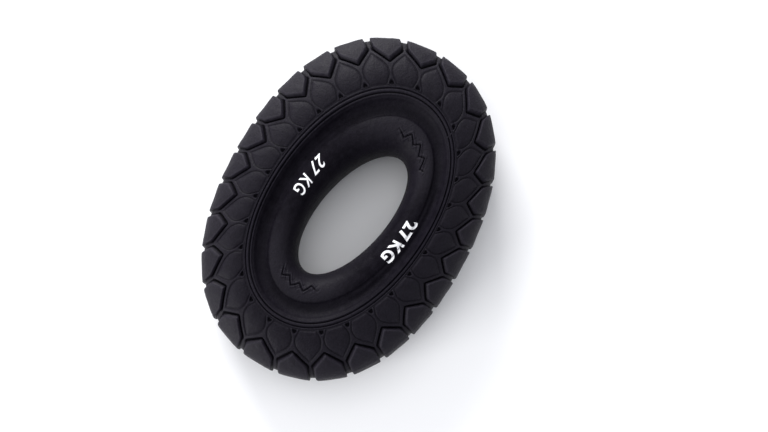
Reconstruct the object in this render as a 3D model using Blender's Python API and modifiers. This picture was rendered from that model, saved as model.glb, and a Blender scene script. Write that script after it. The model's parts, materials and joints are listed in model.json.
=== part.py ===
"""Hand grip strengthener: a squeezed silicone ring, cut into arcs that turn about upright flex lines.

The ring is turned in its released, round form and then squeezed into the oval it has in a closed hand.
It lies on its lower bead face: +Z is up, +X runs along the oval's length and -Y points at the palm.
"""

from math import atan2, cos, hypot, pi, radians, sin

import bmesh
import bpy

# Released ring, in metres
RELEASED_HOLE_R = 0.014
RELEASED_OUTER_R = 0.040
RING_WIDTH = RELEASED_OUTER_R - RELEASED_HOLE_R
HALF_THICKNESS = 0.011

# Squeezed ring: the half axes of the hole and of the rim, how full the rim's corners are, how much the
# middle is drawn in, and how far the hole's oval leans and lies off the rim's centre
HOLE_HALF_LENGTH = 0.0188
HOLE_HALF_WIDTH = 0.0086
RIM_HALF_LENGTH = 0.0467
RIM_HALF_WIDTH = 0.0332
RIM_FULLNESS = 0.019
MIDDLE_DRAWN_IN = 0.0006
HOLE_LEAN = radians(-11.8)
HOLE_SHIFT = (-0.0009, -0.0016)

# Upper half of the ring's section from the hole to the tread: share of the ring's width, height in metres
SECTION = (
    (0.000, 0.0000),
    (0.008, 0.0030),
    (0.030, 0.0060),
    (0.070, 0.0083),
    (0.130, 0.0096),
    (0.200, 0.0101),
    (0.270, 0.0098),
    (0.320, 0.0091),
    (0.375, 0.0090),
    (0.440, HALF_THICKNESS),
    (0.580, HALF_THICKNESS),
    (0.700, 0.0105),
    (0.800, 0.0097),
    (0.890, 0.0086),
    (0.955, 0.0074),
    (0.990, 0.0062),
    (1.000, 0.0030),
)

# Tread: lugs round the rim, with a groove between each two
LUG_COUNT = 27
LUG_PITCH = 2 * pi / LUG_COUNT
FIRST_LUG = radians(5.4)
GROOVE_WIDTH = 0.0019
GROOVE_DEPTH = 0.0008
GROOVE_CLEARANCE = 0.004
STEPS_PER_LUG = 4

# Flex lines: where the arcs turn, and how far each turns when the ring is let go
ARC_COUNT = 8
ARC_PITCH = 2 * pi / ARC_COUNT
PALM = -pi / 2
FLEX_SHARE = 0.5
RELEASE_TURN = radians(17)
SQUEEZE_TURN = radians(5)
TURN_RATIOS = (1.0, -0.9, -1.2, 1.1)
SPARE_TURN = radians(1.0)
NECK_GAP = 0.0003
OUTER_REACH = 0.040
INNER_REACH = 0.0155

ARC_NAMES = (
    "palm_arc",
    "palm_corner_arc_a",
    "end_arc_a",
    "finger_corner_arc_a",
    "finger_arc_a",
    "finger_arc_b",
    "finger_corner_arc_b",
    "end_arc_b",
    "palm_corner_arc_b",
)
SAMPLES = 1440
MERGE_DISTANCE = 0.00001
SHARP_ANGLE = radians(35)
CUTTER_HEIGHT = 4 * HALF_THICKNESS

RUBBER_COLOR = (0.012, 0.012, 0.017)
RUBBER_ROUGHNESS = 0.55


def oval_point(turn, share):
    """A point of the squeezed ring: turn is the ellipse's own angle, share runs from the hole to the rim."""
    half_length = HOLE_HALF_LENGTH + (RIM_HALF_LENGTH - HOLE_HALF_LENGTH) * share
    half_width = HOLE_HALF_WIDTH + (RIM_HALF_WIDTH - HOLE_HALF_WIDTH) * share
    half_width -= MIDDLE_DRAWN_IN * 4 * share * (1 - share)
    fullness = 1 - RIM_FULLNESS * share * cos(4 * turn)
    lean = HOLE_LEAN * (1 - share)
    x = half_length * fullness * cos(turn)
    y = half_width * fullness * sin(turn)
    shift_x = HOLE_SHIFT[0] * (1 - share)
    shift_y = HOLE_SHIFT[1] * (1 - share)
    return x * cos(lean) - y * sin(lean) + shift_x, x * sin(lean) + y * cos(lean) + shift_y


def middle_line():
    """Lengths along the ring's middle line from +X, at equal steps of the ellipse's angle."""
    lengths = [0.0]
    last = oval_point(0.0, FLEX_SHARE)
    for step in range(1, SAMPLES + 1):
        point = oval_point(2 * pi * step / SAMPLES, FLEX_SHARE)
        lengths.append(lengths[-1] + hypot(point[0] - last[0], point[1] - last[1]))
        last = point
    return lengths


MIDDLE_LINE = middle_line()


def squeezed_point(angle, share):
    """Where the rubber at this angle of the round ring lies once it is squeezed: its middle keeps its length."""
    length = (angle / (2 * pi)) % 1.0 * MIDDLE_LINE[-1]
    low, high = 0, SAMPLES
    while high - low > 1:
        middle = (low + high) // 2
        if MIDDLE_LINE[middle] > length:
            high = middle
        else:
            low = middle
    part = (length - MIDDLE_LINE[low]) / (MIDDLE_LINE[high] - MIDDLE_LINE[low])
    return oval_point(2 * pi * (low + part) / SAMPLES, share)


def outward(angle):
    """Unit vector from the hole to the rim at this angle, in the squeezed ring."""
    hole = squeezed_point(angle, 0.0)
    rim = squeezed_point(angle, 1.0)
    length = hypot(rim[0] - hole[0], rim[1] - hole[1])
    return (rim[0] - hole[0]) / length, (rim[1] - hole[1]) / length


def section_outline():
    """The closed section as (radius, height), down its outer side and up its inner side."""
    upper = [(RELEASED_HOLE_R + share * RING_WIDTH, height) for share, height in SECTION]
    lower = [(radius, -height) for radius, height in upper[1:]]
    return upper[::-1] + lower


def clear_scene():
    for old in list(bpy.data.objects):
        bpy.data.objects.remove(old, do_unlink=True)


def make_collection(name):
    collection = bpy.data.collections.new(name)
    bpy.context.scene.collection.children.link(collection)
    return collection


def make_material(name, color, roughness):
    material = bpy.data.materials.new(name)
    material.use_nodes = True
    shader = material.node_tree.nodes["Principled BSDF"]
    shader.inputs["Base Color"].default_value = (*color, 1.0)
    shader.inputs["Roughness"].default_value = roughness
    shader.inputs["Metallic"].default_value = 0.0
    return material


def turned_ring():
    """The round ring's mesh: its section, turned once round by a Screw modifier."""
    outline = section_outline()
    mesh = bpy.data.meshes.new("section")
    points = [(radius, 0.0, height) for radius, height in outline]
    edges = [(index, (index + 1) % len(outline)) for index in range(len(outline))]
    mesh.from_pydata(points, edges, [])
    section = bpy.data.objects.new("section", mesh)
    bpy.context.scene.collection.objects.link(section)
    screw = section.modifiers.new("turn", "SCREW")
    screw.axis = "Z"
    screw.angle = 2 * pi
    screw.steps = LUG_COUNT * STEPS_PER_LUG
    screw.render_steps = screw.steps
    screw.use_merge_vertices = True
    screw.merge_threshold = MERGE_DISTANCE
    graph = bpy.context.evaluated_depsgraph_get()
    ring = bpy.data.meshes.new_from_object(section.evaluated_get(graph))
    ring.name = "squeezed_ring"
    bpy.data.objects.remove(section, do_unlink=True)
    return ring


def squeeze(ring):
    """Moves each point of the round ring to its place in the oval, and stands the ring on its lower face."""
    for vertex in ring.vertices:
        x, y, z = vertex.co
        share = (hypot(x, y) - RELEASED_HOLE_R) / RING_WIDTH
        vertex.co.x, vertex.co.y = squeezed_point(atan2(y, x), share)
        vertex.co.z = z + HALF_THICKNESS
    shaping = bmesh.new()
    shaping.from_mesh(ring)
    bmesh.ops.recalc_face_normals(shaping, faces=shaping.faces)
    shaping.to_mesh(ring)
    shaping.free()
    ring.shade_smooth()
    ring.set_sharp_from_angle(angle=SHARP_ANGLE)


def make_cutter(name, outline, collection):
    """An upright prism of a plan outline, taller than the ring."""
    shaping = bmesh.new()
    low = [shaping.verts.new((x, y, -HALF_THICKNESS)) for x, y in outline]
    floor = shaping.faces.new(low)
    risen = bmesh.ops.extrude_face_region(shaping, geom=[floor])
    top = [item for item in risen["geom"] if isinstance(item, bmesh.types.BMVert)]
    bmesh.ops.translate(shaping, verts=top, vec=(0.0, 0.0, CUTTER_HEIGHT))
    bmesh.ops.recalc_face_normals(shaping, faces=shaping.faces)
    mesh = bpy.data.meshes.new(name)
    shaping.to_mesh(mesh)
    shaping.free()
    cutter = bpy.data.objects.new(name, mesh)
    cutter.hide_render = True
    cutter.display_type = "WIRE"
    collection.objects.link(cutter)
    return cutter


def end_face(flex, side):
    """An arc's end in plan, from inside the hole to outside the rim, bent at the flex line.

    flex numbers the flex line; side is +1 for the arc after it and -1 for the arc before it.
    The two faces at a flex line lean apart by as much as the arcs turn towards each other there.
    """
    angle = PALM + (flex + 0.5) * ARC_PITCH
    ratio = TURN_RATIOS[flex % len(TURN_RATIOS)]
    closing = {True: RELEASE_TURN * abs(ratio), False: SQUEEZE_TURN * abs(ratio)}
    inner_lean = side * (closing[ratio > 0] + SPARE_TURN) / 2
    outer_lean = side * (closing[ratio < 0] + SPARE_TURN) / 2
    x, y = squeezed_point(angle, FLEX_SHARE)
    out_x, out_y = outward(angle)
    on_x, on_y = -out_y, out_x
    neck = side * NECK_GAP / 2

    def reach(distance, lean):
        """The point that far out from the neck, leaning off the radial line."""
        along = neck + abs(distance) * sin(lean)
        out = distance * cos(lean)
        return x + along * on_x + out * out_x, y + along * on_y + out * out_y

    return [reach(-INNER_REACH, inner_lean), reach(0.0, 0.0), reach(OUTER_REACH, outer_lean)]


def middle_face(side):
    """The flat face where the two finger arcs meet, side +1 for the arc after it and -1 for the arc before it."""
    x, y = squeezed_point(PALM + pi, FLEX_SHARE)
    out_x, out_y = outward(PALM + pi)
    shift = side * NECK_GAP / 2
    ends = []
    for distance in (-INNER_REACH, OUTER_REACH):
        ends.append((x - shift * out_y + distance * out_x, y + shift * out_x + distance * out_y))
    return ends


def arc_outlines():
    """Each arc's plan outline, going round from the palm, in the order of ARC_NAMES."""
    outlines = []
    for number in range(ARC_COUNT):
        start = end_face(number - 1, 1)
        end = end_face(number, -1)
        if number == ARC_COUNT // 2:
            outlines.append(start + middle_face(-1)[::-1])
            outlines.append(middle_face(1) + end[::-1])
        else:
            outlines.append(start + end[::-1])
    return outlines


def groove_outline(number):
    """A tread groove in plan: a short box that bites into the rim halfway between two lugs."""
    angle = FIRST_LUG + (number + 0.5) * LUG_PITCH
    x, y = squeezed_point(angle, 1.0)
    out_x, out_y = outward(angle)
    half = GROOVE_WIDTH / 2
    corners = (
        (-half, -GROOVE_DEPTH),
        (half, -GROOVE_DEPTH),
        (half, GROOVE_CLEARANCE),
        (-half, GROOVE_CLEARANCE),
    )
    return [(x - on * out_y + out * out_x, y + on * out_x + out * out_y) for on, out in corners]


def add_boolean(arc, name, operation, cutter=None, collection=None):
    boolean = arc.modifiers.new(name, "BOOLEAN")
    boolean.operation = operation
    boolean.solver = "EXACT"
    if collection:
        boolean.operand_type = "COLLECTION"
        boolean.collection = collection
    else:
        boolean.object = cutter


def parent_arc(number):
    """(number of the arc that this arc hangs on, number of the flex line between them), or None for the palm arc."""
    half = ARC_COUNT // 2
    if number == 0:
        return None
    if number <= half:
        return number - 1, number - 1
    return (number + 1) % len(ARC_NAMES), number - 1


def make_flex_empties(collection):
    """An empty on each flex line, each hung on the one before it, so that turning one carries the rest."""
    empties = {}
    half = ARC_COUNT // 2
    order = [*range(1, half + 1), *range(len(ARC_NAMES) - 1, half, -1)]
    for number in order:
        before, flex = parent_arc(number)
        x, y = squeezed_point(PALM + (flex + 0.5) * ARC_PITCH, FLEX_SHARE)
        empty = bpy.data.objects.new("flex_" + ARC_NAMES[number], None)
        empty.empty_display_size = HALF_THICKNESS
        collection.objects.link(empty)
        place = (x, y, HALF_THICKNESS)
        if before in empties:
            empty.parent, base = empties[before]
            empty.location = [a - b for a, b in zip(place, base)]
        else:
            empty.location = place
        empties[number] = (empty, place)
    return empties


def build():
    clear_scene()
    parts = make_collection("hand_grip_ring")
    cutters = make_collection("cutters")
    grooves = make_collection("groove_cutters")
    rubber = make_material("black_silicone", RUBBER_COLOR, RUBBER_ROUGHNESS)
    ring = turned_ring()
    squeeze(ring)
    ring.materials.append(rubber)
    for number in range(LUG_COUNT):
        make_cutter(f"groove_{number + 1:02d}", groove_outline(number), grooves)
    empties = make_flex_empties(parts)
    for number, outline in enumerate(arc_outlines()):
        name = ARC_NAMES[number]
        sector = make_cutter("sector_" + name, outline, cutters)
        arc = bpy.data.objects.new(name, ring)
        parts.objects.link(arc)
        add_boolean(arc, "sector", "INTERSECT", cutter=sector)
        add_boolean(arc, "tread_grooves", "DIFFERENCE", collection=grooves)
        if number in empties:
            arc.parent, place = empties[number]
            arc.location = [-value for value in place]


build()
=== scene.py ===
"""Looks of the hand grip strengthener: a moulded rubber ring with a tyre tread, squeezed to an oval.

The ring's surface is one fine grid, worked out in the round ring and squeezed with the same rule as the
CAD. It is cut into a hub band and a tread band for each flex line.
"""

import json
from math import cos, pi, radians, sin

import bmesh
import bpy
import numpy as np
from mathutils import Matrix, Vector

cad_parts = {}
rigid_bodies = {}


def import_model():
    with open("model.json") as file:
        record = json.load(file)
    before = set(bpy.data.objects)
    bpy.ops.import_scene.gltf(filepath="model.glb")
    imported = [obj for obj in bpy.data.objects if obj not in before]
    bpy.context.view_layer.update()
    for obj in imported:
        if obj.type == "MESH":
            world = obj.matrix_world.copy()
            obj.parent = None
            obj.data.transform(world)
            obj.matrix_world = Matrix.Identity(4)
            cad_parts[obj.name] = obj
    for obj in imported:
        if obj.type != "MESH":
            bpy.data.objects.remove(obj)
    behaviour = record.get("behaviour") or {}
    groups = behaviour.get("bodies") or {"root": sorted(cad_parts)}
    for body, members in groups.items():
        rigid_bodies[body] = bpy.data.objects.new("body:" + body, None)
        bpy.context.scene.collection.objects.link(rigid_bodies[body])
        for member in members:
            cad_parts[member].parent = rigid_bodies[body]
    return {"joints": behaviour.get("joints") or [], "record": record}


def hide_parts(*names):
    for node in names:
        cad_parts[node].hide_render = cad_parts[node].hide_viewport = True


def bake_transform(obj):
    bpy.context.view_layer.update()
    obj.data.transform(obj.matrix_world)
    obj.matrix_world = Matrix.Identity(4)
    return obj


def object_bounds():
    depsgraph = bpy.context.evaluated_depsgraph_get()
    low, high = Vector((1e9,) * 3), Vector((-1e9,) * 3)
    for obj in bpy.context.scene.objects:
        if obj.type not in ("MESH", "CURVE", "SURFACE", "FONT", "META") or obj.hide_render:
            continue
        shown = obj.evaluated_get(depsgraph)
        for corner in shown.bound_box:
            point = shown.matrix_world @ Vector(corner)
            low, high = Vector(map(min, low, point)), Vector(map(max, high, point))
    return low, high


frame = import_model()
cad_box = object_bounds()

MM = 0.001

# Round ring, in millimetres
HOLE_R = 14.0
OUTER_R = 40.0
RING_WIDTH = OUTER_R - HOLE_R
HALF_THICKNESS = 11.0

# Squeezed ring: the half axes of the hole and of the rim in millimetres, how full the rim's corners are,
# how much the middle is drawn in, and how far the hole's oval leans and lies off the rim's centre
HOLE_AXES = (18.8, 8.6)
RIM_AXES = (46.7, 33.2)
RIM_FULLNESS = 0.019
MIDDLE_DRAWN_IN = 0.6
HOLE_LEAN = radians(-11.8)
HOLE_SHIFT = (-0.9, -1.6)
MIDDLE_SHARE = 0.5
PALM = -pi / 2
TABLE_POINTS = 5761

# Half section from the middle of the hole's wall to the middle of the tread: share of the width, and
# height in mm
SECTION = (
    (0.000, 0.0),
    (0.003, 2.0),
    (0.014, 4.3),
    (0.036, 6.3),
    (0.070, 7.9),
    (0.115, 9.1),
    (0.165, 9.75),
    (0.220, 9.95),
    (0.268, 9.85),
    (0.295, 9.6),
    (0.312, 9.05),
    (0.345, 8.72),
    (0.385, 8.8),
    (0.423, 9.4),
    (0.453, 10.45),
    (0.473, 10.93),
    (0.490, 11.0),
    (0.540, 11.0),
    (0.570, 10.98),
    (0.605, 10.8),
    (0.700, 10.15),
    (0.780, 9.25),
    (0.840, 8.4),
    (0.885, 7.6),
    (0.925, 6.6),
    (0.952, 5.5),
    (0.966, 4.0),
    (0.969, 2.0),
    (0.969, 0.0),
)
SECTION_POINTS = 4000
SHOULDER_HEIGHT = 5.5
STEP_CHANGE_HEIGHT = 1.5
FACE_STEP = 0.15
WALL_STEP = 0.40
HALF_STEP = 0.5

# Bead: a flat ridge with two grooves, where the hub band meets the tread band. Its two edges are each a
# reach and a depth; the mould tick nearly fills the grooves at one place
BEAD_REACH = 27.3
BEAD_GROOVE_OFFSET = 0.5
BEAD_GROOVE_HALF = 0.26
BEAD_GROOVE_DEPTH = 0.45
BEAD_OUTER_EDGE = (28.35, 0.22)
BEAD_INNER_EDGE = (26.0, 0.12)
BEAD_EDGE_HALF = 0.25
MOULD_TICK = radians(-23)
MOULD_TICK_HALF = 0.35
MOULD_TICK_FILL = 0.9
SPLIT_SHARE = (BEAD_REACH + BEAD_GROOVE_OFFSET - HOLE_R) / RING_WIDTH
TONGUE_LENGTH = 0.3
TONGUE_DROP = 0.1

# Lugs: shields that point at the hub, with a channel between each two
LUG_COUNT = 27
LUG_PITCH = 2 * pi / LUG_COUNT
FIRST_LUG = radians(5.4)
COLUMNS_PER_LUG = 40
LUG_HALF_WIDTH = 0.41
LUG_TIP_REACH = 34.3
LUG_ARM_REACH = 37.0
LUG_ARM_HALF = 3.5
LUG_HEIGHT = 0.75
LUG_FLATNESS = 0.25
LUG_WALL = 0.32
LUG_ROUNDING = 0.2
LUG_TIP_ROUNDING = 0.2
LUG_CROWN = 0.10
LUG_CROWN_WIDTH = 2.0
FLAT_REACH = 37
FLAT_WIDTH = 3
MOAT_OFFSET = 0.30
MOAT_HALF = 0.30
MOAT_DEPTH = 0.60
MOAT_LEAD = 1.0
MOAT_LEAD_WIDTH = 0.9
MOAT_END_REACH = 37.8
MOAT_END_WIDTH = 1.5

# Petals between the lugs and the bead, on stems that widen towards the bead, with a pit at each foot
TREAD_OFFSET = 1.0
TREAD_FADE = 0.4
CHANNEL_WIDTH = 1.25
PETAL_FOOT = 28.6
PETAL_ROUNDING = 1.0
PETAL_FOOT_ROUNDING = 0.3
PETAL_EDGE_DEPTH = 0.24
PETAL_EDGE_HALF = 0.26
PETAL_PILLOW = 0.34
PETAL_PILLOW_WIDTH = 0.8
PETAL_DROP = 0.10
PETAL_DROP_WIDTH = 0.3
PETAL_START = 28.3
STEM_HALF = 0.24
STEM_WIDENING = 0.75
STEM_WIDENING_REACH = 31.2
STEM_WIDENING_WIDTH = 2.6
PIT_HEIGHT = 1.1
PIT_HALF = 0.66
PIT_DEPTH = 0.6
PIT_ROUNDING = 0.1
PIT_WALL = 0.3
PIT_START = 0.3

# Zigzag on the hub's crest, in an arc at each end of the oval
ZIGZAG_REACH = 18.4
ZIGZAG_HEIGHT = 0.85
ZIGZAG_COUNT = 32
ZIGZAG_DIP = radians(-5.5)
ZIGZAG_ARCS = ((radians(-11), radians(26)), (radians(183), radians(23)))
ZIGZAG_FADE = radians(8)
ZIGZAG_SHARPNESS = 0.985
ZIGZAG_DEPTH = 0.32
ZIGZAG_HALF = 0.24
LIP_HEIGHT = 0.14
LIP_OFFSET = 0.42
LIP_HALF = 0.32
CROSSING_DEPTH = 0.12
CROSSING_HALF = 0.3

# Valley between the crest and the bead: it is filled in along the oval's sides
VALLEY_REACH = 22.9
VALLEY_HALF = 1.5
VALLEY_FILL = 0.5
ENDS_TURN = radians(10)
ENDS_MIDDLE = 0.5
ENDS_CONTRAST = 0.7

# Painted light and shade: how much lighter or darker the rubber is painted at each distance from the ring's
# middle, where 0 is plain
PAINTED_LIGHT_BY_REACH = (
    (14.0, 0.1),
    (16.6, 0.0),
    (17.6, 0.45),
    (21.4, 0.45),
    (22.0, -0.35),
    (25.2, -0.35),
    (26.2, 0.0),
    (28.8, -0.1),
    (29.2, -0.3),
    (34.6, 0.6),
    (36.0, 1.0),
)
# Painted shade on the hub along the oval's sides, with the reach and width over which it comes in
SIDE_PAINTED_SHADE = -0.9
SIDE_SHADE_REACH = 15
SIDE_SHADE_WIDTH = 2
BLUR_SHIFTS = (-3, -2, -1, 1, 2, 3)

# Prints: a generic weight mark on each side of the hole, each in two words. Name, word, flex line, the
# degrees where it starts and ends, the shares of the ring's width at its feet and at its top, slant, and
# how much the strokes are thickened
PRINTS = (
    ("palm_mark_27", "27", 0, -71.6, -85.6, 0.190, 0.335, 0.0, 0.030),
    ("palm_mark_kg", "KG", 7, -88.2, -103.4, 0.195, 0.340, 0.0, 0.030),
    ("finger_mark_27", "27", 3, 73.6, 87.4, 0.300, 0.170, 0.35, 0.010),
    ("finger_mark_kg", "KG", 4, 90.0, 105.0, 0.285, 0.150, 0.35, 0.010),
)
LETTER_SPACING = 1.12
LETTER_SMOOTHNESS = 6
MERGE_DISTANCE = 0.0001
PRINT_STEP = 0.07
INK_LIFT = 0.05
INK_ROOT = 0.10

MIDDLE_HEIGHT = cad_box[0].z / MM + HALF_THICKNESS
HUB_SHARES = (0.0, SPLIT_SHARE)
TREAD_SHARES = (SPLIT_SHARE, 1.0)
COLUMNS = LUG_COUNT * COLUMNS_PER_LUG
COLUMN_STEP = 2 * pi / COLUMNS

# The flex lines in turn, going round from the palm: each is the joint that bends the ring there
FLEX_LINES = (
    "palm_flex_a",
    "palm_side_flex_a",
    "finger_side_flex_a",
    "finger_flex_a",
    "finger_flex_b",
    "finger_side_flex_b",
    "palm_side_flex_b",
    "palm_flex_b",
)
ARC_PITCH = 2 * pi / len(FLEX_LINES)


# ---------------------------------------------------------------- squeezing

def oval_points(turns, shares):
    """Points of the squeezed ring in mm, from the ellipse's own angles and the shares from hole to rim."""
    half_length = HOLE_AXES[0] + (RIM_AXES[0] - HOLE_AXES[0]) * shares
    half_width = HOLE_AXES[1] + (RIM_AXES[1] - HOLE_AXES[1]) * shares
    half_width = half_width - MIDDLE_DRAWN_IN * 4 * shares * (1 - shares)
    fullness = 1 - RIM_FULLNESS * shares * np.cos(4 * turns)
    lean = HOLE_LEAN * (1 - shares)
    x = half_length * fullness * np.cos(turns)
    y = half_width * fullness * np.sin(turns)
    shift_x = HOLE_SHIFT[0] * (1 - shares)
    shift_y = HOLE_SHIFT[1] * (1 - shares)
    leaning_x = x * np.cos(lean) - y * np.sin(lean)
    leaning_y = x * np.sin(lean) + y * np.cos(lean)
    return leaning_x + shift_x, leaning_y + shift_y


TURN_TABLE = np.linspace(0, 2 * pi, TABLE_POINTS)
MIDDLE_LINE = np.stack(oval_points(TURN_TABLE, np.full_like(TURN_TABLE, MIDDLE_SHARE)))
ANGLE_TABLE = np.concatenate([[0], np.cumsum(np.hypot(*np.diff(MIDDLE_LINE, axis=1)))])
ANGLE_TABLE *= 2 * pi / ANGLE_TABLE[-1]


def turns_of(angles):
    """The ellipse's own angle for each angle of the round ring, evenly spaced along the middle line."""
    rounds = np.floor(np.asarray(angles) / (2 * pi))
    return np.interp(angles - 2 * pi * rounds, ANGLE_TABLE, TURN_TABLE) + 2 * pi * rounds


# ---------------------------------------------------------------- section

def smooth_curve(points, count):
    """Evenly spaced points on a smooth curve through the given ones."""
    knots = np.array(points)
    lengths = np.hypot(*np.diff(knots, axis=0).T)
    places = np.concatenate([[0], np.cumsum(lengths)])
    slopes = np.gradient(knots, places, axis=0)
    wanted = np.linspace(0, places[-1], count)
    left = np.clip(np.searchsorted(places, wanted, side="right") - 1, 0, len(lengths) - 1)
    part = ((wanted - places[left]) / lengths[left])[:, None]
    length = lengths[left][:, None]
    return (
        (1 + 2 * part) * (1 - part) ** 2 * knots[left]
        + part * (1 - part) ** 2 * length * slopes[left]
        + part**2 * (3 - 2 * part) * knots[left + 1]
        + part**2 * (part - 1) * length * slopes[left + 1]
    )


def half_section():
    """The hub band and the tread band of the upper half section, from the hole to the tread.

    Each is four rows of numbers: radius and height in mm, and how far the normal points out and up."""
    knots = [(HOLE_R + share * RING_WIDTH, height) for share, height in SECTION]
    points = smooth_curve(knots, SECTION_POINTS)
    tangents = np.gradient(points, axis=0)
    tangents /= np.hypot(*tangents.T)[:, None]
    normals = np.stack([-tangents[:, 1], tangents[:, 0]], axis=1)
    change = (SHOULDER_HEIGHT, SHOULDER_HEIGHT + STEP_CHANGE_HEIGHT)
    steps = np.interp(points[:, 1], change, (WALL_STEP, FACE_STEP))
    gaps = np.hypot(*np.diff(points, axis=0).T) / (steps[1:] + steps[:-1]) * 2
    measure = np.concatenate([[0], np.cumsum(gaps)])
    split_at = np.searchsorted(points[:, 0], HOLE_R + SPLIT_SHARE * RING_WIDTH)
    # At the middle height a band stops half a step short, so that it lies a whole step from its mirror image
    bands = []
    for first, last in ((0, split_at), (split_at, len(points) - 1)):
        count = int(round(measure[last] - measure[first]))
        first_gap = HALF_STEP if first == 0 else 0.0
        last_gap = HALF_STEP if last == len(points) - 1 else 0.0
        wanted = np.linspace(measure[first] + first_gap, measure[last] - last_gap, count)
        bands.append(np.stack([np.interp(wanted, measure, c) for c in (*points.T, *normals.T)]))
    return bands


# ---------------------------------------------------------------- relief

def soft_step(value):
    """0 below 0, 1 above 1, smooth between."""
    value = np.clip(value, 0, 1)
    return value * value * (3 - 2 * value)


def bump(value):
    """1 at 0, falling smoothly to 0 at -1 and 1."""
    return np.clip(1 - value * value, 0, None) ** 2


def soft_max(a, b, rounding):
    """The larger of two values, rounded where they cross."""
    return 0.5 * (a + b + np.sqrt((a - b) ** 2 + rounding**2))


def soft_min(a, b, rounding):
    """The smaller of two values, rounded where they cross."""
    return -soft_max(-a, -b, rounding)


def lug_relief(reach, across, pitch):
    """Lugs with steep walls and a moat along their pointed end; also the distance beyond that end."""
    side = np.abs(across) - LUG_HALF_WIDTH * pitch
    rise = LUG_ARM_REACH - LUG_TIP_REACH
    blunt = np.sqrt(across**2 + LUG_TIP_ROUNDING**2) - LUG_TIP_ROUNDING
    beyond = (blunt * rise - (reach - LUG_TIP_REACH) * LUG_ARM_HALF) / np.hypot(rise, LUG_ARM_HALF)
    outside = soft_max(side, beyond, LUG_ROUNDING)
    lug = LUG_HEIGHT * soft_step(0.5 - outside / LUG_WALL)
    crown = LUG_CROWN * soft_step(-outside / LUG_CROWN_WIDTH) * (outside < 0)
    middle = np.clip(1 - (across / (LUG_HALF_WIDTH * pitch)) ** 2, 0, None)
    flat = LUG_FLATNESS * middle * soft_step((reach - FLAT_REACH) / FLAT_WIDTH)
    at_arms = soft_step((beyond - side + MOAT_LEAD) / MOAT_LEAD_WIDTH)
    at_arms = at_arms * soft_step((MOAT_END_REACH - reach) / MOAT_END_WIDTH)
    moat = MOAT_DEPTH * bump((outside - MOAT_OFFSET) / MOAT_HALF) * at_arms
    return lug + crown - flat - moat, beyond


def petal_relief(reach, across, beyond):
    """Pillowed petals in a net of thin ribs, with a small pit at the foot of each stem."""
    widening = soft_step((STEM_WIDENING_REACH - reach) / STEM_WIDENING_WIDTH)
    stem = STEM_HALF + STEM_WIDENING * widening
    inside = soft_min(beyond - CHANNEL_WIDTH, np.abs(across) - stem, PETAL_ROUNDING)
    inside = soft_min(inside, reach - PETAL_FOOT, PETAL_FOOT_ROUNDING)
    edge = -PETAL_EDGE_DEPTH * bump(inside / PETAL_EDGE_HALF)
    pillow = PETAL_PILLOW * (1 - np.exp(-np.clip(inside, 0, None) / PETAL_PILLOW_WIDTH))
    drop = -PETAL_DROP * soft_step(inside / PETAL_DROP_WIDTH)
    above_foot = np.clip(reach - PETAL_FOOT, 0, None)
    pit_side = PIT_HALF * (1 - np.hypot(across / PIT_HALF, above_foot / PIT_HEIGHT))
    pit = soft_min(pit_side, reach - PETAL_FOOT, PIT_ROUNDING)
    outside_bead = soft_step((reach - PETAL_START) / PETAL_FOOT_ROUNDING)
    return (edge + pillow + drop - PIT_DEPTH * soft_step(pit / PIT_WALL + PIT_START)) * outside_bead


def bead_relief(reach, angle):
    """Two narrow grooves that leave three ridges, with a small mould tick across them."""
    off = np.abs(np.abs(reach - BEAD_REACH) - BEAD_GROOVE_OFFSET)
    grooves = BEAD_GROOVE_DEPTH * bump(off / BEAD_GROOVE_HALF)
    outer_edge = BEAD_OUTER_EDGE[1] * bump((reach - BEAD_OUTER_EDGE[0]) / BEAD_EDGE_HALF)
    inner_edge = BEAD_INNER_EDGE[1] * bump((reach - BEAD_INNER_EDGE[0]) / BEAD_EDGE_HALF)
    tick = bump((angle - MOULD_TICK) * BEAD_REACH / MOULD_TICK_HALF)
    return -grooves * (1 - MOULD_TICK_FILL * tick) - outer_edge - inner_edge


def end_share(angle):
    """1 at both ends of the oval and 0 at its sides, where the hub is pressed smooth."""
    return soft_step(ENDS_MIDDLE + ENDS_CONTRAST * np.cos(2 * angle + ENDS_TURN))


def valley_relief(reach, angle):
    """Fills the valley beside the crest, away from the ends of the oval."""
    return VALLEY_FILL * (1 - end_share(angle)) * bump((reach - VALLEY_REACH) / VALLEY_HALF)


def zigzag_relief(reach, angle):
    """An engraved zigzag with raised lips and a faint mirrored one, which fade out at the arcs' ends."""
    fade = 0.0
    for middle, half_arc in ZIGZAG_ARCS:
        off_middle = np.abs((angle - middle + pi) % (2 * pi) - pi)
        fade = fade + soft_step((half_arc - off_middle) / ZIGZAG_FADE)
    wave = np.arcsin(ZIGZAG_SHARPNESS * np.cos((angle - ZIGZAG_DIP) * ZIGZAG_COUNT)) * 2 / pi
    line = ZIGZAG_REACH - ZIGZAG_HEIGHT * wave
    run = 2 * pi * ZIGZAG_REACH / ZIGZAG_COUNT / 2
    slope = np.hypot(run, 2 * ZIGZAG_HEIGHT)
    off = (reach - line) * run / slope
    crossing = (2 * ZIGZAG_REACH - reach - line) * run / slope
    lips = LIP_HEIGHT * bump((np.abs(off) - LIP_OFFSET) / LIP_HALF)
    groove = ZIGZAG_DEPTH * bump(off / ZIGZAG_HALF)
    return fade * (lips - groove - CROSSING_DEPTH * bump(crossing / CROSSING_HALF))


def reach_of(radius, height):
    """Distance from the middle along the face, and on down the tread below the shoulder, in mm."""
    return radius + np.clip(SHOULDER_HEIGHT - height, 0, None) * (radius > BEAD_REACH)


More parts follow.
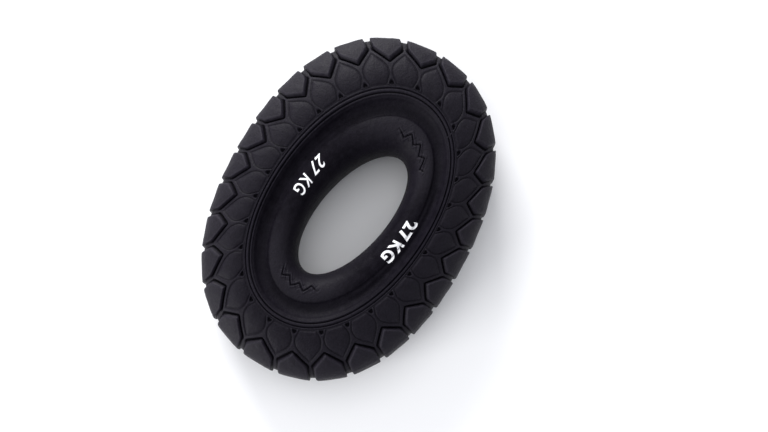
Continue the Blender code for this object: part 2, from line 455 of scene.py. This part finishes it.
def relief(radius, height, angles):
    """How far the surface stands out of the base section, in mm: rows by columns."""
    reach = reach_of(radius, height)[:, None]
    pitch = np.clip(reach, None, OUTER_R) * LUG_PITCH
    angle = angles[None, :]
    phase = (angle - FIRST_LUG) / LUG_PITCH
    across = (phase - np.round(phase)) * pitch
    lugs, beyond = lug_relief(reach, across, pitch)
    petals = petal_relief(reach, across, beyond)
    outside_bead = soft_step((reach - BEAD_REACH - TREAD_OFFSET) / TREAD_FADE)
    hub = valley_relief(reach, angle) + zigzag_relief(reach, angle)
    return (lugs + petals) * outside_bead + bead_relief(reach, angle) + hub


# ---------------------------------------------------------------- bands

def band_rows(radius, height, normal_out, normal_up, angles):
    """One band's upper half with its relief: share, height and relief, rows by columns."""
    stand = relief(radius, height, angles)
    share = (radius[:, None] + stand * normal_out[:, None] - HOLE_R) / RING_WIDTH
    return share, height[:, None] + stand * normal_up[:, None], stand


def add_tongue(share, height, *values):
    """Carries the hub band a little way under the tread band, so that no slit opens as the ring bends."""
    parts = np.array([[0.5], [1.0]])
    share = np.concatenate([share, share[-1] + parts * TONGUE_LENGTH / RING_WIDTH])
    height = np.concatenate([height, height[-1] - parts * TONGUE_DROP])
    return share, height, *(np.concatenate([value, value[-1:], value[-1:]]) for value in values)


def painted_ridge_groove_mask(stand):
    """How much each point stands above its surroundings (ridges) or below them (grooves); the material
    paints highlights on the ridges and shade in the grooves from it.
    """
    rows = np.arange(stand.shape[0])
    blurred = stand
    for axis in (0, 1):
        total = blurred.copy()
        for shift in BLUR_SHIFTS:
            if axis == 0:
                total += blurred[np.clip(rows + shift, 0, rows[-1])]
            else:
                total += np.roll(blurred, shift, axis=1)
        blurred = total / (len(BLUR_SHIFTS) + 1)
    return stand - blurred


def painted_light_values(radius, height, angles):
    """The painted light and shade at each point, from its place across the ring; the hub's sides get painted
    shade.
    """
    reach = reach_of(radius, height)[:, None]
    reaches, light_and_shade = np.array(PAINTED_LIGHT_BY_REACH).T
    plain = np.interp(reach, reaches, light_and_shade)
    on_hub = soft_step((reach - SIDE_SHADE_REACH) / SIDE_SHADE_WIDTH)
    side_shade_share = (1 - end_share(angles)) * on_hub * (reach < BEAD_REACH)
    return plain + (SIDE_PAINTED_SHADE - plain) * side_shade_share


def grid_normals(points):
    """Unit normals of a grid of points, so that shading runs on across the ends of the pieces."""
    normals = np.cross(np.gradient(points, axis=0), np.gradient(points, axis=1))
    return normals / np.linalg.norm(normals, axis=2, keepdims=True)


def closed_loop(upper, mirrored_first, sign):
    """Joins a band's upper half to its mirror image, going round the section."""
    lower = sign * upper[::-1]
    return np.concatenate([lower, upper] if mirrored_first else [upper, lower])


def section_mesh(name, points, normals, edges, light_and_shade):
    """A closed mesh of one length of a band, from points in rows round the section by columns along it."""
    rows, columns = points.shape[:2]
    index = np.arange(rows * columns).reshape(rows, columns)
    after = np.roll(index, -1, axis=0)
    skin = np.stack([index[:, :-1], after[:, :-1], after[:, 1:], index[:, 1:]], -1).reshape(-1, 4)
    half = np.arange(rows // 2 - 1)
    across = np.stack([half, half + 1, rows - 2 - half, rows - 1 - half], -1)
    start = index[across[:, [1, 0, 3, 2]], 0]
    end = index[across, -1]
    faces = np.concatenate([skin, start, end])
    smooth = np.ones(len(faces), bool)
    smooth[(rows - 1) * (columns - 1):] = False
    mesh = bpy.data.meshes.new(name)
    mesh.vertices.add(rows * columns)
    mesh.vertices.foreach_set("co", (points * MM).astype(np.float32).ravel())
    mesh.loops.add(faces.size)
    mesh.loops.foreach_set("vertex_index", faces.astype(np.int32).ravel())
    mesh.polygons.add(len(faces))
    mesh.polygons.foreach_set("loop_start", np.arange(0, faces.size, 4, dtype=np.int32))
    mesh.polygons.foreach_set("use_smooth", smooth)
    mesh.update(calc_edges=True)
    # The two point attributes carry painted light and shade for the material: highlights on ridges and shade
    # in grooves, then light and shade across the ring
    for label, values in (("edge", edges), ("painted_light", light_and_shade)):
        attribute = mesh.attributes.new(label, "FLOAT", "POINT")
        attribute.data.foreach_set("value", values.astype(np.float32).ravel())
    mesh.normals_split_custom_set_from_vertices(normals.reshape(-1, 3))
    return mesh


# ---------------------------------------------------------------- flex lines

def joint_named(name):
    """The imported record's joint of this name."""
    return next(joint for joint in frame["joints"] if joint["name"] == name)


def bodies_at(flex):
    """The bodies before and after a flex line, going round."""
    joint = joint_named(FLEX_LINES[flex])
    pair = joint["parent"], joint["child"]
    return pair if FLEX_LINES[flex].endswith("_a") else pair[::-1]


def nodes_at(flex):
    """The CAD arcs on both sides of a flex line."""
    members = frame["record"]["behaviour"]["bodies"]
    return [node for body in bodies_at(flex) for node in members[body]]


def add_bent(piece):
    """Puts a piece in the scene and bakes its placement into its mesh."""
    bpy.context.scene.collection.objects.link(piece)
    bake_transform(piece)


def column_at(seam, angles):
    """The grid's column at a seam, counted from the palm."""
    return int(round((PALM + seam * ARC_PITCH - angles[0]) / COLUMN_STEP))


def make_skin(material):
    """The hub band and the tread band of each flex line."""
    first = int(round((PALM - FIRST_LUG) / COLUMN_STEP))
    angles = FIRST_LUG + COLUMN_STEP * np.arange(first, first + COLUMNS + 1)
    turns = turns_of(angles)
    for name, rows, shares in zip(("hub", "tread"), half_section(), (HUB_SHARES, TREAD_SHARES)):
        is_hub = name == "hub"
        share, height, stand = band_rows(*rows, angles)
        # Masks for the painted highlights on ridges, the painted shade in grooves, and the painted light and
        # shade across the ring
        edges = painted_ridge_groove_mask(stand)
        light_and_shade = painted_light_values(*rows[:2], angles)
        if is_hub:
            share, height, edges, light_and_shade = add_tongue(share, height, edges, light_and_shade)
        share = closed_loop(share, is_hub, 1)
        height = closed_loop(height, is_hub, -1)
        edges = closed_loop(edges, is_hub, 1)
        light_and_shade = closed_loop(light_and_shade, is_hub, 1)
        points = np.stack([*oval_points(turns[None, :], share), height + MIDDLE_HEIGHT], -1)
        normals = grid_normals(points)
        for flex, line in enumerate(FLEX_LINES):
            here = column_at(flex, angles)
            there = column_at(flex + 1, angles)
            part = np.s_[:, here:there + 1]
            values = points[part], normals[part], edges[part], light_and_shade[part]
            mesh = section_mesh(name + "_" + line, *values)
            mesh.materials.append(material)
            piece = bpy.data.objects.new(mesh.name, mesh)
            add_bent(piece)
            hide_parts(*nodes_at(flex))


# ---------------------------------------------------------------- prints

def word_mesh(name, word, slant, boldness):
    """A word as a thin closed slab whose outline fills the unit square, cut finely enough to bend."""
    curve = bpy.data.curves.new(name, "FONT")
    curve.body = word
    curve.shear = slant
    curve.offset = boldness
    curve.extrude = 0.5
    curve.space_character = LETTER_SPACING
    curve.resolution_u = LETTER_SMOOTHNESS
    text = bpy.data.objects.new(name, curve)
    bpy.context.scene.collection.objects.link(text)
    graph = bpy.context.evaluated_depsgraph_get()
    mesh = bpy.data.meshes.new_from_object(text.evaluated_get(graph))
    bpy.data.objects.remove(text)
    points = np.array([vertex.co for vertex in mesh.vertices])
    low, high = points.min(0), points.max(0)
    shaping = bmesh.new()
    shaping.from_mesh(mesh)
    for vertex in shaping.verts:
        vertex.co.x = (vertex.co.x - low[0]) / (high[0] - low[0])
        vertex.co.y = (vertex.co.y - low[1]) / (high[1] - low[1])
    bmesh.ops.remove_doubles(shaping, verts=shaping.verts, dist=MERGE_DISTANCE)
    for axis in ((1, 0, 0), (0, 1, 0)):
        for place in np.arange(PRINT_STEP, 1, PRINT_STEP):
            everything = [*shaping.verts, *shaping.edges, *shaping.faces]
            bmesh.ops.bisect_plane(shaping, geom=everything, plane_co=Vector(axis) * place, plane_no=axis)
    shaping.to_mesh(mesh)
    shaping.free()
    return mesh


def make_prints(material):
    """The printed marks, wrapped on the hub's crest."""
    radius, height = half_section()[0][:2]
    for name, word, flex, first, last, feet, top, slant, boldness in PRINTS:
        mesh = word_mesh(name, word, slant, boldness)
        points = np.array([vertex.co for vertex in mesh.vertices])
        angles = np.radians(first + (last - first) * points[:, 0])
        shares = feet + (top - feet) * points[:, 1]
        x, y = oval_points(turns_of(angles), shares)
        reach = HOLE_R + shares * RING_WIDTH
        surface = np.interp(reach, radius, height) + valley_relief(reach, angles)
        z = surface + MIDDLE_HEIGHT + np.where(points[:, 2] > 0, INK_LIFT, -INK_ROOT)
        mesh.vertices.foreach_set("co", (np.stack([x, y, z], -1) * MM).astype(np.float32).ravel())
        mesh.update()
        mesh.materials.clear()
        mesh.materials.append(material)
        piece = bpy.data.objects.new(name, mesh)
        add_bent(piece)


# ---------------------------------------------------------------- materials

# Painted shade on the rubber
RUBBER_SHADED = (0.0022, 0.0017, 0.0034)
# Painted light on the rubber
RUBBER_LIT = (0.0105, 0.0086, 0.0144)
RUBBER_MOTTLE = (0.0098, 0.0084, 0.0130)
RUBBER_DRIFT = (0.0060, 0.0048, 0.0094)
# Painted highlight on ridges
RUBBER_RIDGE_HIGHLIGHT = (0.024, 0.021, 0.031)
RUBBER_SPECK = (0.0022, 0.0017, 0.0032)
# Painted shade in grooves
RUBBER_GROOVE_SHADE = (0.0010, 0.0009, 0.0014)
INK_THIN = (0.70, 0.70, 0.73)
INK_FULL = (0.88, 0.88, 0.90)


def new_material(name):
    """A material with its nodes, its links and its shader."""
    material = bpy.data.materials.new(name)
    material.use_nodes = True
    nodes = material.node_tree.nodes
    return material, nodes, material.node_tree.links, nodes["Principled BSDF"]


def add_noise(nodes, links, place, scale, detail, roughness=0.5):
    """A noise pattern: scale is in features to the metre."""
    noise = nodes.new("ShaderNodeTexNoise")
    noise.inputs["Scale"].default_value = scale
    noise.inputs["Detail"].default_value = detail
    noise.inputs["Roughness"].default_value = roughness
    links.new(place, noise.inputs["Vector"])
    return noise.outputs["Fac"]


def add_range(nodes, links, value, low, high, to_low, to_high):
    """A value carried from one range to another and held at its ends."""
    mapped = nodes.new("ShaderNodeMapRange")
    mapped.inputs["From Min"].default_value = low
    mapped.inputs["From Max"].default_value = high
    mapped.inputs["To Min"].default_value = to_low
    mapped.inputs["To Max"].default_value = to_high
    links.new(value, mapped.inputs["Value"])
    return mapped.outputs["Result"]


def add_mix(nodes, links, factor, first, second):
    """A colour mix; first and second are colours or sockets."""
    mix = nodes.new("ShaderNodeMix")
    mix.data_type = "RGBA"
    links.new(factor, mix.inputs["Factor"])
    for socket, value in ((mix.inputs["A"], first), (mix.inputs["B"], second)):
        if isinstance(value, tuple):
            socket.default_value = (*value, 1.0)
        else:
            links.new(value, socket)
    return mix.outputs["Result"]


def attribute_value(nodes, name):
    """A number that the mesh holds at each point."""
    attribute = nodes.new("ShaderNodeAttribute")
    attribute.attribute_name = name
    return attribute.outputs["Fac"]


def add_dents(nodes, links, height, strength, distance, below=None):
    """Fine relief in the shading, on top of any below it; distance is in metres."""
    dents = nodes.new("ShaderNodeBump")
    dents.inputs["Strength"].default_value = strength
    dents.inputs["Distance"].default_value = distance
    links.new(height, dents.inputs["Height"])
    if below:
        links.new(below, dents.inputs["Normal"])
    return dents.outputs["Normal"]


def rubber_material():
    """Near-black silicone, matte and a little violet, with painted light and shade: paler on edges and
    crests as painted highlights, darker in grooves and on the hub's sides as painted shade.
    """
    material, nodes, links, shader = new_material("black_silicone")
    place = nodes.new("ShaderNodeTexCoord").outputs["Object"]
    grain = add_noise(nodes, links, place, 2200, 3, 0.6)
    mottle = add_noise(nodes, links, place, 520, 4, 0.65)
    drift = add_noise(nodes, links, place, 70, 2)
    # The edge attribute drives the painted highlight on ridges and the painted shade in grooves
    edge = attribute_value(nodes, "edge")
    # Painted light and shade across the ring
    painted_light = add_range(nodes, links, attribute_value(nodes, "painted_light"), -1, 1, 0, 1)
    patches = add_range(nodes, links, mottle, 0.38, 0.64, 0, 0.6)
    clouds = add_range(nodes, links, drift, 0.3, 0.7, 0, 0.3)
    # Painted highlight on ridges
    ridge_highlight = add_range(nodes, links, edge, 0.03, 0.3, 0, 0.5)
    specks = add_range(nodes, links, grain, 0.40, 0.62, 0.45, 0)
    # Painted shade in grooves
    groove = add_range(nodes, links, edge, -0.08, -0.28, 0, 0.85)
    # The rubber is painted from its shaded colour to its lit one
    color = add_mix(nodes, links, painted_light, RUBBER_SHADED, RUBBER_LIT)
    color = add_mix(nodes, links, patches, color, RUBBER_MOTTLE)
    color = add_mix(nodes, links, clouds, color, RUBBER_DRIFT)
    color = add_mix(nodes, links, ridge_highlight, color, RUBBER_RIDGE_HIGHLIGHT)
    color = add_mix(nodes, links, specks, color, RUBBER_SPECK)
    color = add_mix(nodes, links, groove, color, RUBBER_GROOVE_SHADE)
    links.new(color, shader.inputs["Base Color"])
    links.new(add_range(nodes, links, grain, 0.3, 0.7, 0.52, 0.68), shader.inputs["Roughness"])
    # The specular level is raised where the rubber is painted lit and lowered in the painted groove shade
    painted_light_shine = nodes.new("ShaderNodeMath")
    painted_light_shine.operation = "MULTIPLY"
    links.new(add_range(nodes, links, painted_light, 0, 1, 0.04, 0.15), painted_light_shine.inputs[0])
    links.new(add_range(nodes, links, groove, 0, 1, 1.0, 0.2), painted_light_shine.inputs[1])
    links.new(painted_light_shine.outputs["Value"], shader.inputs["Specular IOR Level"])
    fine = add_dents(nodes, links, grain, 0.55, 0.00012)
    links.new(add_dents(nodes, links, mottle, 0.60, 0.00040, fine), shader.inputs["Normal"])
    return material


def ink_material():
    """White pad-printed ink, a little uneven."""
    material, nodes, links, shader = new_material("white_ink")
    place = nodes.new("ShaderNodeTexCoord").outputs["Object"]
    patches = add_noise(nodes, links, place, 900, 3)
    cover = add_range(nodes, links, patches, 0.3, 0.6, 0, 1)
    color = add_mix(nodes, links, cover, INK_THIN, INK_FULL)
    links.new(color, shader.inputs["Base Color"])
    shader.inputs["Roughness"].default_value = 0.45
    links.new(add_dents(nodes, links, patches, 0.2, 0.00004), shader.inputs["Normal"])
    return material


# ---------------------------------------------------------------- stage, light and camera

FLOOR_SIZE = 6.0
FLOOR_COLOR = (0.90, 0.90, 0.91, 1.0)
SKY_COLOR = (0.93, 0.95, 1.0, 1.0)
SKY_STRENGTH = 0.60

# Lights: name, azimuth from +X and elevation in degrees, distance and size in metres, power in watts
LIGHTS = (
    ("top", 60, 78, 1.4, 1.0, 5),
    ("key", 45, 19, 1.2, 0.6, 21),
    ("side", 150, 18, 1.2, 0.6, 13),
    ("fill", 300, 30, 1.3, 0.9, 2),
)

# Camera: it looks down from a little below the ring in the picture, whose long axis runs up to the right
CAMERA_TILT = radians(6.1)
LONG_AXIS_RISE = radians(60.8)
VIEW_WIDTH = 0.1964
RING_LEFT_OF_MIDDLE = 0.00887
RING_ABOVE_MIDDLE = 0.00185
LENS = 85.0
SENSOR = 36.0
NEAREST = 0.01
FURTHEST = 20


def make_floor():
    """A plain pale floor, level with the ring's lowest face."""
    material, _, _, shader = new_material("pale_floor")
    shader.inputs["Base Color"].default_value = FLOOR_COLOR
    shader.inputs["Roughness"].default_value = 0.8
    shader.inputs["Specular IOR Level"].default_value = 0.1
    bpy.ops.mesh.primitive_plane_add(size=FLOOR_SIZE, location=(0, 0, cad_box[0].z))
    floor = bpy.context.object
    floor.name = "floor"
    floor.data.materials.append(material)


def add_light(name, azimuth, elevation, distance, size, power):
    """A square soft light aimed at the ring."""
    data = bpy.data.lights.new(name, "AREA")
    data.size = size
    data.energy = power
    lamp = bpy.data.objects.new(name, data)
    bpy.context.scene.collection.objects.link(lamp)
    a, e = radians(azimuth), radians(elevation)
    lamp.location = (distance * cos(a) * cos(e), distance * sin(a) * cos(e), distance * sin(e))
    lamp.rotation_euler = (-Vector(lamp.location)).to_track_quat("-Z", "Y").to_euler()


def make_lights():
    """A pale sky and the soft studio lights."""
    world = bpy.data.worlds.new("studio")
    world.use_nodes = True
    background = world.node_tree.nodes["Background"]
    background.inputs["Color"].default_value = SKY_COLOR
    background.inputs["Strength"].default_value = SKY_STRENGTH
    bpy.context.scene.world = world
    for light in LIGHTS:
        add_light(*light)
    bpy.context.scene.view_settings.view_transform = "Standard"


def make_camera():
    """The camera at the viewing angle of the picture."""
    data = bpy.data.cameras.new("camera")
    data.lens = LENS
    data.sensor_width = SENSOR
    up = Vector((sin(LONG_AXIS_RISE), cos(LONG_AXIS_RISE), 0))
    back = Vector((0, 0, cos(CAMERA_TILT))) - sin(CAMERA_TILT) * up
    right = up.cross(back).normalized()
    up = back.cross(right)
    middle = (cad_box[0] + cad_box[1]) / 2
    aim = middle + RING_LEFT_OF_MIDDLE * right - RING_ABOVE_MIDDLE * up
    camera = bpy.data.objects.new("camera", data)
    bpy.context.scene.collection.objects.link(camera)
    place = aim + back * VIEW_WIDTH * LENS / SENSOR
    turn = Matrix((right, up, back)).transposed()
    camera.matrix_world = Matrix.Translation(place) @ turn.to_4x4()
    data.clip_start = NEAREST
    data.clip_end = FURTHEST
    bpy.context.scene.camera = camera


make_skin(rubber_material())
make_prints(ink_material())
make_floor()
make_lights()
make_camera()
